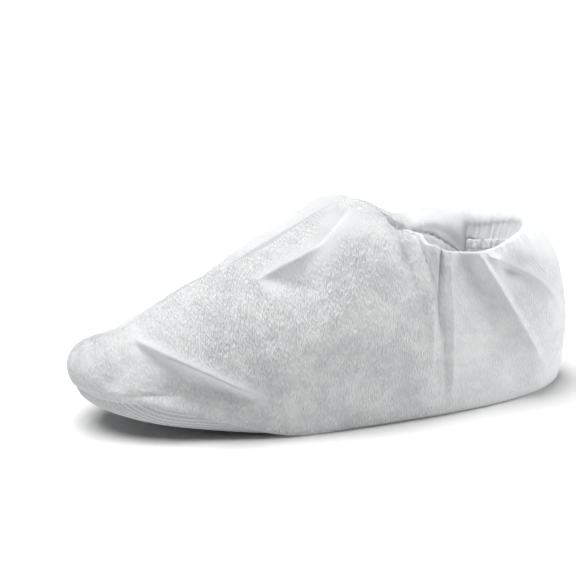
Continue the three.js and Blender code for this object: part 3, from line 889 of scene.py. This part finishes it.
def crinkle_group():
    """Node group: flat cloth coordinates in metres to the height of the creases, and the clouds with painted
    crease shade.
    """
    tree = bpy.data.node_groups.new("crinkle", "ShaderNodeTree")
    tree.interface.new_socket("Vector", in_out="INPUT", socket_type="NodeSocketVector")
    tree.interface.new_socket("Height", in_out="OUTPUT", socket_type="NodeSocketFloat")
    tree.interface.new_socket("CloudAndCreaseShade", in_out="OUTPUT", socket_type="NodeSocketFloat")
    cloth = tree.nodes.new("NodeGroupInput").outputs["Vector"]
    slant = add_node(
        tree, "ShaderNodeMapping", Vector=cloth, Rotation=(0, 0, STROKE_ANGLE),
        Scale=(1 / STROKE_WIDE, 1 / STROKE_LONG, 1),
    )
    strokes = add_node(
        tree, "ShaderNodeTexNoise", Vector=slant.outputs[0],
        Scale=1.0, Detail=0.0, Roughness=0.5, Distortion=0.3,
    )
    fibres = add_node(tree, "ShaderNodeTexNoise", Vector=cloth, Scale=FIBRE_RATE, Detail=2.0)
    clouds = add_node(tree, "ShaderNodeTexNoise", Vector=cloth, Scale=CLOUD_RATE, Detail=4.0, Roughness=0.6)
    patches = add_node(tree, "ShaderNodeTexNoise", Vector=cloth, Scale=PATCH_RATE, Detail=2.0)
    crest = add_node(tree, "ShaderNodeMapRange", Value=strokes.outputs[0], _1=STROKE_LOW, _2=STROKE_HIGH)
    height = math_node(tree, "MULTIPLY_ADD", fibres.outputs[0], FIBRE_HEIGHT)
    tree.links.new(crest.outputs[0], height.node.inputs[2])
    cloud = math_node(tree, "SUBTRACT", math_node(tree, "ADD", clouds.outputs[0], patches.outputs[0]), 1.0)
    # Painted shade of the creases: the strokes' crests lighter and their valleys darker, with the clouds
    # added.
    cloud_and_crease_shade = math_node(tree, "MULTIPLY_ADD", math_node(tree, "SUBTRACT", crest.outputs[0], 0.5), STROKE_PAINTED_SHADE)
    tree.links.new(math_node(tree, "MULTIPLY", cloud, CLOUD_TONE), cloud_and_crease_shade.node.inputs[2])
    out = tree.nodes.new("NodeGroupOutput")
    tree.links.new(height, out.inputs["Height"])
    tree.links.new(cloud_and_crease_shade, out.inputs["CloudAndCreaseShade"])
    return tree


CRINKLE = crinkle_group()
print(CRINKLE.name, "group of", len(CRINKLE.nodes), "nodes")

# %% Nonwoven
THIN_AT, DENSE_AT = 0.36, 0.62
LIGHT_THROUGH = 0.3


def cloth_material(name, thin, dense, depth):
    """A matte cloth: the colours of its thin and dense places, which also carry the painted crease shade, and
    the depth of its creases.
    """
    material = bpy.data.materials.new(name)
    material.use_nodes = True
    tree = material.node_tree
    shader = tree.nodes["Principled BSDF"]
    shader.inputs["Roughness"].default_value = 0.75
    shader.inputs["Specular IOR Level"].default_value = 0.3
    uv = tree.nodes.new("ShaderNodeUVMap")
    uv.uv_map = "cloth"
    crinkle = tree.nodes.new("ShaderNodeGroup")
    crinkle.node_tree = CRINKLE
    tree.links.new(uv.outputs[0], crinkle.inputs["Vector"])
    strength = tree.nodes.new("ShaderNodeAttribute")
    strength.attribute_name = "crepe"
    # The colour takes the clouds and the painted crease shade, both weaker where the crinkle is pulled out.
    cloud = math_node(tree, "MULTIPLY", crinkle.outputs["CloudAndCreaseShade"], strength.outputs["Fac"])
    shade = math_node(tree, "ADD", cloud, 0.5)
    ramp = add_node(tree, "ShaderNodeValToRGB", Fac=shade)
    ramp.color_ramp.elements[0].position, ramp.color_ramp.elements[1].position = THIN_AT, DENSE_AT
    ramp.color_ramp.elements[0].color, ramp.color_ramp.elements[1].color = (*thin, 1), (*dense, 1)
    tree.links.new(ramp.outputs[0], shader.inputs["Base Color"])
    height = math_node(tree, "MULTIPLY", crinkle.outputs["Height"], strength.outputs["Fac"])
    bump = add_node(tree, "ShaderNodeBump", Strength=1.0, Distance=depth, Height=height)
    tree.links.new(bump.outputs[0], shader.inputs["Normal"])
    through = add_node(tree, "ShaderNodeBsdfTranslucent", Color=ramp.outputs[0], Normal=bump.outputs[0])
    mix = add_node(
        tree, "ShaderNodeMixShader", Fac=LIGHT_THROUGH, _1=shader.outputs[0], _2=through.outputs[0]
    )
    tree.links.new(mix.outputs[0], tree.nodes["Material Output"].inputs["Surface"])
    return material


nonwoven = cloth_material(
    "nonwoven", thin=(0.76, 0.774, 0.783), dense=(0.915, 0.923, 0.926), depth=0.58 * MM
)
for piece in (panels["left"], panels["right"], hem):
    piece.data.materials.append(nonwoven)
    print(piece.name, "of", nonwoven.name)

# %% [markdown]
# ## The net of the sole
# The non-slip sheet is embossed with a net of fine ribs. Modelled, they would take more faces than all
# the rest, so they are bump and colour. Two sets of lines on the flat sheet make them: a distance to the
# nearest line of each set, cut off at the rib's width.

# %% Net node group
NET_ROW, NET_SLANT, NET_RIB = 1.6 * MM, 3.6 * MM, 0.32 * MM
NET_ROW_RIB = 1.5 * NET_RIB
NET_TURN = math.radians(14)


def net_group():
    """Node group: flat sheet coordinates in metres to 1 on the ribs of a slanting net and 0 between them."""
    tree = bpy.data.node_groups.new("net", "ShaderNodeTree")
    tree.interface.new_socket("Vector", in_out="INPUT", socket_type="NodeSocketVector")
    tree.interface.new_socket("Rib", in_out="OUTPUT", socket_type="NodeSocketFloat")
    sheet = tree.nodes.new("NodeGroupInput").outputs["Vector"]
    turned = add_node(tree, "ShaderNodeMapping", Vector=sheet, Rotation=(0, 0, NET_TURN))
    place = add_node(tree, "ShaderNodeSeparateXYZ", Vector=turned.outputs[0])
    slanted = math_node(tree, "SUBTRACT", place.outputs["X"], place.outputs["Y"])
    ribs = []
    for across, pitch, width in (
        (place.outputs["Y"], NET_ROW, NET_ROW_RIB),
        (slanted, NET_SLANT, NET_RIB),
    ):
        away = math_node(tree, "PINGPONG", across, pitch / 2)
        rib = add_node(tree, "ShaderNodeMapRange", Value=away, _1=0.0, _2=width, _3=1.0, _4=0.0)
        rib.interpolation_type = "SMOOTHSTEP"
        ribs.append(rib.outputs[0])
    out = tree.nodes.new("NodeGroupOutput")
    tree.links.new(math_node(tree, "MAXIMUM", *ribs), out.inputs["Rib"])
    return tree


NET = net_group()
print(NET.name, "group of", len(NET.nodes), "nodes")

# %% Sole film
RIB_HEIGHT = 0.3 * MM


def sole_material(name, film, rib):
    """A film with raised ribs of another colour."""
    material = bpy.data.materials.new(name)
    material.use_nodes = True
    tree = material.node_tree
    shader = tree.nodes["Principled BSDF"]
    shader.inputs["Roughness"].default_value = 0.6
    uv = tree.nodes.new("ShaderNodeUVMap")
    uv.uv_map = "cloth"
    net = tree.nodes.new("ShaderNodeGroup")
    net.node_tree = NET
    tree.links.new(uv.outputs[0], net.inputs["Vector"])
    ramp = add_node(tree, "ShaderNodeValToRGB", Fac=net.outputs["Rib"])
    ramp.color_ramp.elements[0].color, ramp.color_ramp.elements[1].color = (*film, 1), (*rib, 1)
    tree.links.new(ramp.outputs[0], shader.inputs["Base Color"])
    bump = add_node(tree, "ShaderNodeBump", Strength=0.8, Distance=RIB_HEIGHT, Height=net.outputs["Rib"])
    tree.links.new(bump.outputs[0], shader.inputs["Normal"])
    return material


sole_film = sole_material("sole_film", film=(0.52, 0.53, 0.54), rib=(0.80, 0.81, 0.82))
sole.data.materials.append(sole_film)
print(sole.name, "of", sole_film.name)

# %% [markdown]
# ## Floor and light
# The cover stands on a pale sweep under a wide soft light from above, so that faces turned up are bright
# and the side is an even grey. A round lamp behind the heel picks out the facets there. The sweep throws
# light back from below, and it is lit until it is white, as in a catalogue picture.

# %% Sweep
FLOOR_HALF = 6
FLOOR_GREY = 0.74

bm = bmesh.new()
bmesh.ops.create_grid(bm, x_segments=1, y_segments=1, size=FLOOR_HALF)
floor_mesh = bpy.data.meshes.new("floor")
bm.to_mesh(floor_mesh)
bm.free()
floor = bpy.data.objects.new("floor", floor_mesh)
bpy.context.scene.collection.objects.link(floor)
floor_finish = bpy.data.materials.new("floor")
floor_finish.use_nodes = True
floor_shader = floor_finish.node_tree.nodes["Principled BSDF"]
floor_shader.inputs["Base Color"].default_value = (FLOOR_GREY, FLOOR_GREY, FLOOR_GREY, 1)
floor_shader.inputs["Roughness"].default_value = 0.9
floor.data.materials.append(floor_finish)
print("sweep", 2 * FLOOR_HALF, "m wide")

# %% Light
world = bpy.data.worlds.new("studio")
world.use_nodes = True
world.node_tree.nodes["Background"].inputs["Color"].default_value = (1, 1, 1, 1)
world.node_tree.nodes["Background"].inputs["Strength"].default_value = 0.02
bpy.context.scene.world = world

LIT_POINT = Vector((0, 0, 0.06))


def studio_light(name, kind, place, energy):
    """A light that shines from its place at the cover."""
    light_data = bpy.data.lights.new(name, kind)
    light_data.energy = energy
    light = bpy.data.objects.new(name, light_data)
    light.location = place
    light.rotation_euler = (LIT_POINT - light.location).to_track_quat("-Z", "Y").to_euler()
    bpy.context.scene.collection.objects.link(light)
    return light_data


sky = studio_light("top_light", "SUN", place=(-0.25, 0.1, 1.06), energy=4.62)
sky.angle = math.radians(45)
lamp = studio_light("side_light", "AREA", place=(0.94, -0.25, 0.25), energy=5.2)
lamp.shape = "DISK"
lamp.size = 0.52
bpy.context.scene.view_settings.view_transform = "Standard"
print("top light over", round(math.degrees(sky.angle)), "degrees, lamp", round(lamp.size, 2), "m wide")

# %% [markdown]
# ## Into the frame
# Every piece stands for its solid of the imported model: it is hung on the model's root, and that solid is
# hidden.

# %% Tie the pieces to the frame
for piece, node, slot in (
    (panels["left"], "upper_left", "nonwoven"),
    (panels["right"], "upper_right", "nonwoven"),
    (sole, "sole", "sole_film"),
    (hem, "ankle_hem", "hem_casing"),
):
    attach(piece, "root")
    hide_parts(node)
